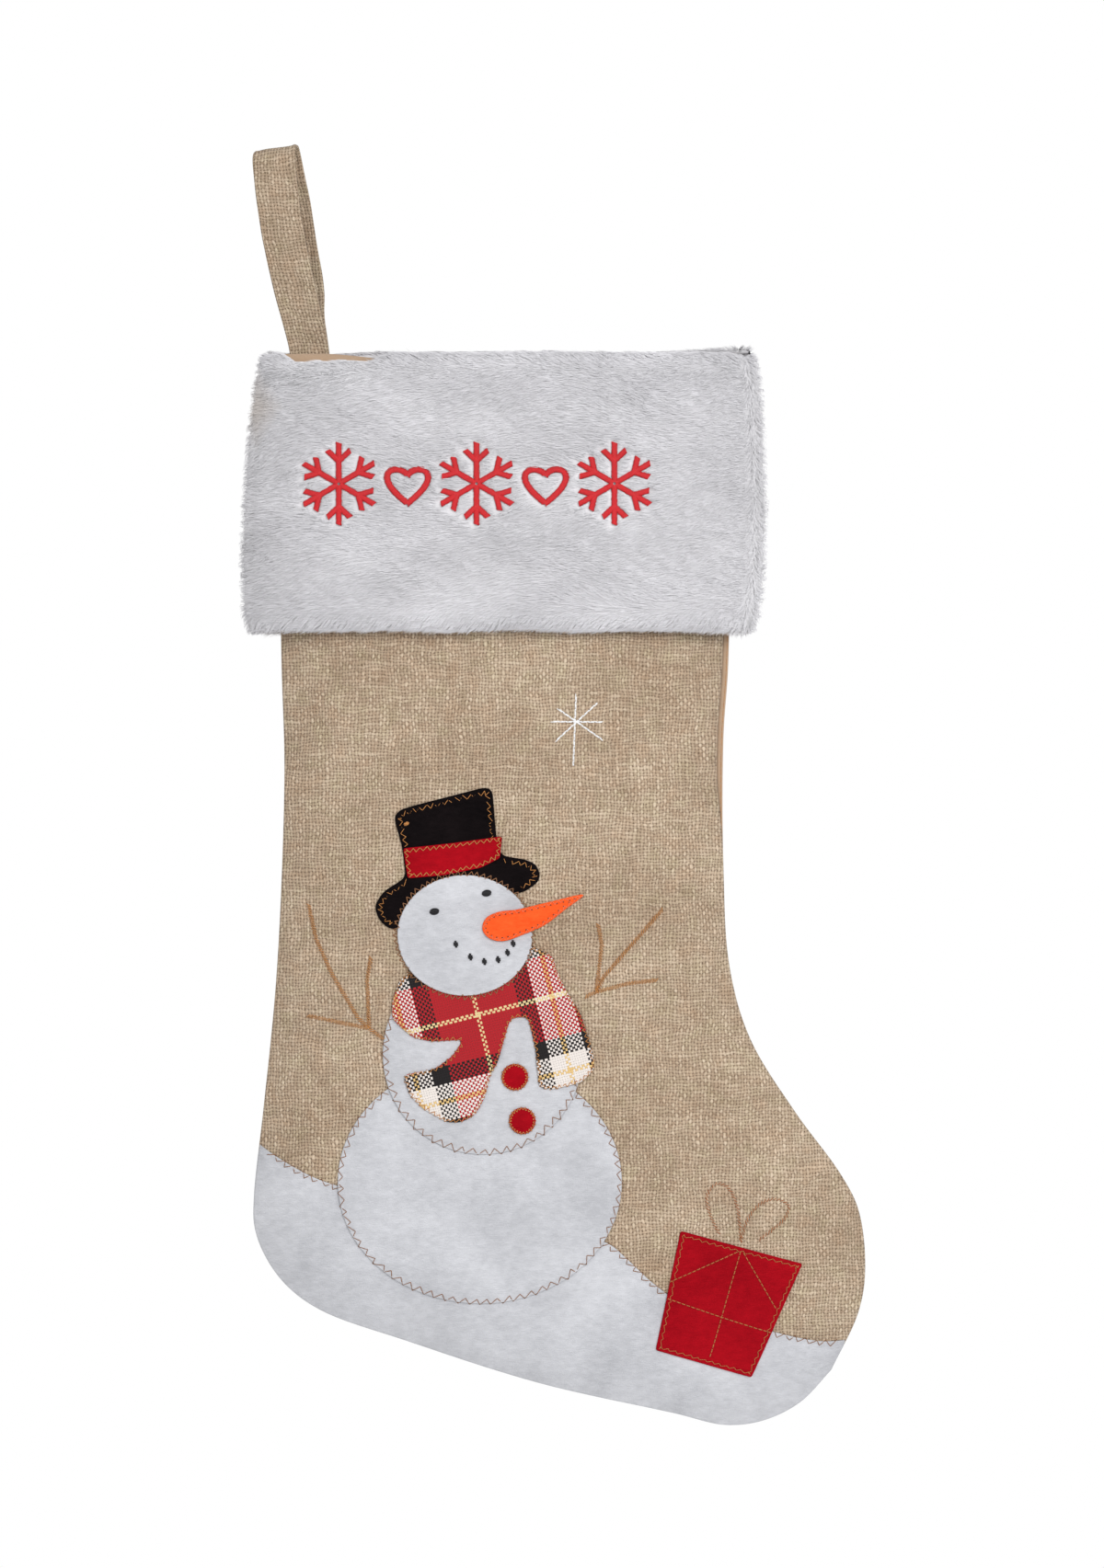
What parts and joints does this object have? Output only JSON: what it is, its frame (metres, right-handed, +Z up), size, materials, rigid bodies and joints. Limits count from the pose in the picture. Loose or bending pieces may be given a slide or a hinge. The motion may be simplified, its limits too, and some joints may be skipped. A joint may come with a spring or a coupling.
{
  "type": "hanging stocking",
  "caption": "Hanging fabric stocking with a plush cuff, a folded hessian loop and a felt snowman applique on its front.",
  "frame": {"origin": "inside the top fold of the hanging loop, where a hook carries the stocking", "axes": "+Z up, the decorated front faces -Y, the toe points along +X"},
  "size_m": [0.2618, 0.053, 0.5343],
  "materials": {
    "hessian": "plain-weave imitation hessian, matte",
    "interlining": "non-woven, matte",
    "suedette": "short brushed nap, matte",
    "plush": "short brushed plush pile",
    "white_felt": "needled felt, matte",
    "black_felt": "needled felt, matte",
    "red_felt": "needled felt, matte",
    "orange_felt": "needled felt, matte",
    "plaid": "woven check, matte",
    "tan_thread": "sewing thread, soft sheen",
    "black_thread": "embroidery thread, soft sheen",
    "white_thread": "embroidery thread, soft sheen",
    "red_thread": "embroidery thread, satin"
  },
  "bodies": {
    "loop": {"hanging_loop": "hessian"},
    "pouch": {"loop_tab": "hessian", "loop_bartack": "tan_thread", "front_panel": "hessian", "front_interlining": "interlining", "back_panel": "suedette", "perimeter_stitching": "tan_thread", "cuff_front": "plush", "cuff_back": "plush", "cuff_seam_left": "white_thread", "cuff_seam_right": "white_thread", "snow_ground": "white_felt", "snowman_base": "white_felt", "snowman_middle": "white_felt", "snowman_head": "white_felt", "scarf": "plaid", "hat": "black_felt", "hat_band": "red_felt", "carrot_nose": "orange_felt", "gift_box": "red_felt", "button_upper": "red_felt", "button_lower": "red_felt", "eye_left": "black_thread", "eye_right": "black_thread", "mouth_stitch_1": "black_thread", "mouth_stitch_2": "black_thread", "mouth_stitch_3": "black_thread", "mouth_stitch_4": "black_thread", "mouth_stitch_5": "black_thread", "mouth_stitch_6": "black_thread", "twig_arm_left": "tan_thread", "twig_arm_right": "tan_thread", "snowflake": "white_thread", "gift_bow": "tan_thread", "gift_ribbon_stitching": "tan_thread", "cuff_crystal_1": "red_thread", "cuff_crystal_2": "red_thread", "cuff_crystal_3": "red_thread", "cuff_heart_1": "red_thread", "cuff_heart_2": "red_thread"}
  },
  "joints": [
    {"name": "loop_swing", "type": "hinge", "parent": "loop", "child": "pouch", "pos_m": [0.0135, 0.0027, -0.0819], "axis": [1, 0, 0], "range_deg": [-75, 75]}
  ]
}
